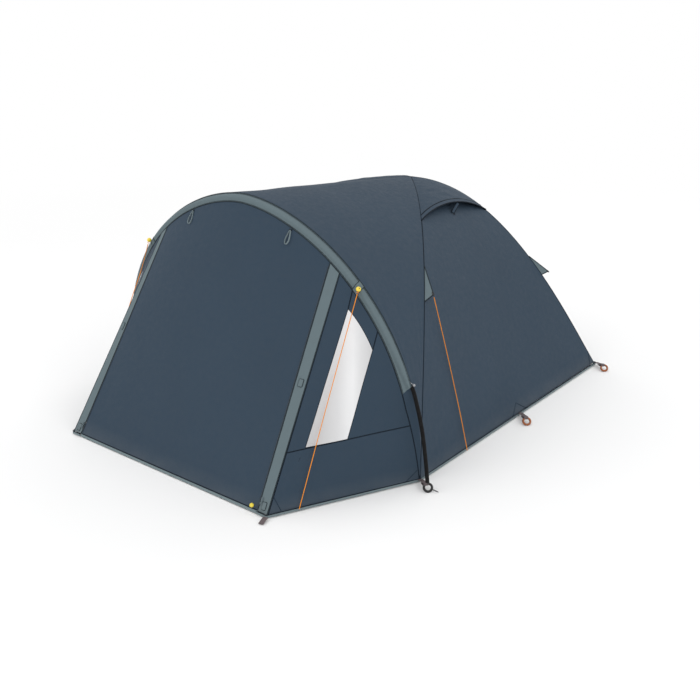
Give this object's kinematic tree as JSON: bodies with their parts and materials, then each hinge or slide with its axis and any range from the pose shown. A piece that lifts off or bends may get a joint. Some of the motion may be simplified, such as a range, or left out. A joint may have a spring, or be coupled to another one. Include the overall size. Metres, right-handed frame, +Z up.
{
  "type": "dome tent",
  "caption": "Small camping dome tent with a covered front porch on an arched pole, lifting porch door, side windows, vent hoods and an inner tent.",
  "frame": {"origin": "on the ground, under the middle of the tent's bounding box", "axes": "+Z up, -Y towards the porch door, +X to the right as seen from the front"},
  "size_m": [2.4134, 2.795, 1.3124],
  "materials": {
    "fly_cloth": "matt coated polyester, slate navy",
    "trim_cloth": "matt grey polyester",
    "window_film": "frosted white film",
    "pole": "black glass-fibre rod, satin",
    "guy_cord": "orange braided cord",
    "toggle": "yellow moulded ball",
    "webbing": "brown-grey woven webbing",
    "peg_ring": "brown-orange ring",
    "corner_ring": "black ring",
    "pin_steel": "plain wire pin",
    "groundsheet": "dark coated polyethylene sheet",
    "inner_cloth": "light grey breathable polyester",
    "zip_slider": "yellow slider and pull"
  },
  "bodies": {
    "tent": {"groundsheet_tub": "groundsheet", "inner_canopy": "inner_cloth", "fly_roof": "fly_cloth", "fly_side_right": "fly_cloth", "fly_side_left": "fly_cloth", "fly_rear": "fly_cloth", "vent_hood_right": "fly_cloth", "vent_hood_left": "fly_cloth", "porch_wall_right": "fly_cloth", "porch_wall_left": "fly_cloth", "door_top": "fly_cloth", "window_right": "window_film", "window_left": "window_film", "zip_cover_right": "trim_cloth", "zip_cover_left": "trim_cloth", "hem_tape": "trim_cloth", "pole_sleeve": "trim_cloth", "guy_tab_front_right": "trim_cloth", "guy_tab_front_left": "trim_cloth", "guy_tab_rear_right": "trim_cloth", "guy_tab_rear_left": "trim_cloth", "pole_porch_top": "pole", "pole_porch_right": "pole", "pole_porch_left": "pole", "pole_dome_upper": "pole", "pole_dome_lower": "pole", "strap_corner_right": "webbing", "strap_corner_left": "webbing", "strap_side_right": "webbing", "strap_side_left": "webbing", "strap_rear_right": "webbing", "strap_rear_left": "webbing", "strap_porch_right": "webbing", "ring_corner_right": "corner_ring", "ring_corner_left": "corner_ring", "guy_toggle_right": "toggle", "guy_toggle_left": "toggle", "guy_line_porch_right": "guy_cord", "guy_line_porch_left": "guy_cord", "guy_line_dome_right": "guy_cord"},
    "porch_door": {"door_panel": "fly_cloth", "door_hem": "trim_cloth"},
    "zip_right": {"zip_slider_right": "zip_slider"},
    "zip_left": {"zip_slider_left": "zip_slider"},
    "inner_door": {"inner_door": "inner_cloth"},
    "prop_right": {"vent_prop_right": "fly_cloth"},
    "prop_left": {"vent_prop_left": "fly_cloth"},
    "loop_right": {"door_loop_right": "trim_cloth"},
    "loop_left": {"door_loop_left": "trim_cloth"},
    "pin_right": {"ground_pin_right": "pin_steel"},
    "pin_left": {"ground_pin_left": "pin_steel"},
    "side_ring_right": {"ring_side_right": "peg_ring"},
    "side_ring_left": {"ring_side_left": "peg_ring"},
    "rear_ring_right": {"ring_rear_right": "peg_ring"},
    "rear_ring_left": {"ring_rear_left": "peg_ring"}
  },
  "joints": [
    {"name": "porch_door_lift", "type": "hinge", "parent": "tent", "child": "porch_door", "pos_m": [0, -0.8295, 1.03], "axis": [-1, 0, 0], "range_deg": [0, 100]},
    {"name": "zip_right_slide", "type": "slide", "parent": "tent", "child": "zip_right", "axis": [-0.0669, 0.5211, 0.8508], "range_m": [0, 1]},
    {"name": "zip_left_slide", "type": "slide", "parent": "tent", "child": "zip_left", "axis": [0.0669, 0.5211, 0.8508], "range_m": [0, 1]},
    {"name": "inner_door_lift", "type": "hinge", "parent": "tent", "child": "inner_door", "pos_m": [0, -0.1396, 0.7965], "axis": [1, 0, 0], "range_deg": [0, 110]},
    {"name": "prop_right_fold", "type": "hinge", "parent": "tent", "child": "prop_right", "pos_m": [0.44483, 0.58943, 1.052], "axis": [-0.7009, -0.4339, 0.5661], "range_deg": [0, 18]},
    {"name": "prop_left_fold", "type": "hinge", "parent": "tent", "child": "prop_left", "pos_m": [-0.44483, 0.58943, 1.052], "axis": [-0.7009, 0.4339, -0.5661], "range_deg": [0, 18]},
    {"name": "loop_right_swing", "type": "hinge", "parent": "tent", "child": "loop_right", "pos_m": [0.344, -0.7116, 1.17967], "axis": [-1, 0, 0], "range_deg": [0, 60]},
    {"name": "loop_left_swing", "type": "hinge", "parent": "tent", "child": "loop_left", "pos_m": [-0.344, -0.7116, 1.17967], "axis": [-1, 0, 0], "range_deg": [0, 60]},
    {"name": "pin_right_swing", "type": "hinge", "parent": "tent", "child": "pin_right", "pos_m": [1.17415, -0.64908, 0.01321], "axis": [0, 0, 1], "range_deg": [-20, 20]},
    {"name": "pin_left_swing", "type": "hinge", "parent": "tent", "child": "pin_left", "pos_m": [-1.17415, -0.64908, 0.01321], "axis": [0, 0, 1], "range_deg": [-20, 20]},
    {"name": "side_ring_right_lift", "type": "hinge", "parent": "tent", "child": "side_ring_right", "pos_m": [1.14339, 0.32649, 0.03332], "axis": [-0.6799, -0.7199, -0.14], "range_deg": [0, 60]},
    {"name": "side_ring_left_lift", "type": "hinge", "parent": "tent", "child": "side_ring_left", "pos_m": [-1.14339, 0.32649, 0.03332], "axis": [-0.6799, 0.7199, 0.14], "range_deg": [0, 60]},
    {"name": "rear_ring_right_lift", "type": "hinge", "parent": "tent", "child": "rear_ring_right", "pos_m": [1.13263, 1.33707, 0.03236], "axis": [-0.5416, -0.7923, -0.2808], "range_deg": [0, 60]},
    {"name": "rear_ring_left_lift", "type": "hinge", "parent": "tent", "child": "rear_ring_left", "pos_m": [-1.13263, 1.33707, 0.03236], "axis": [-0.5416, 0.7923, 0.2808], "range_deg": [0, 60]}
  ]
}
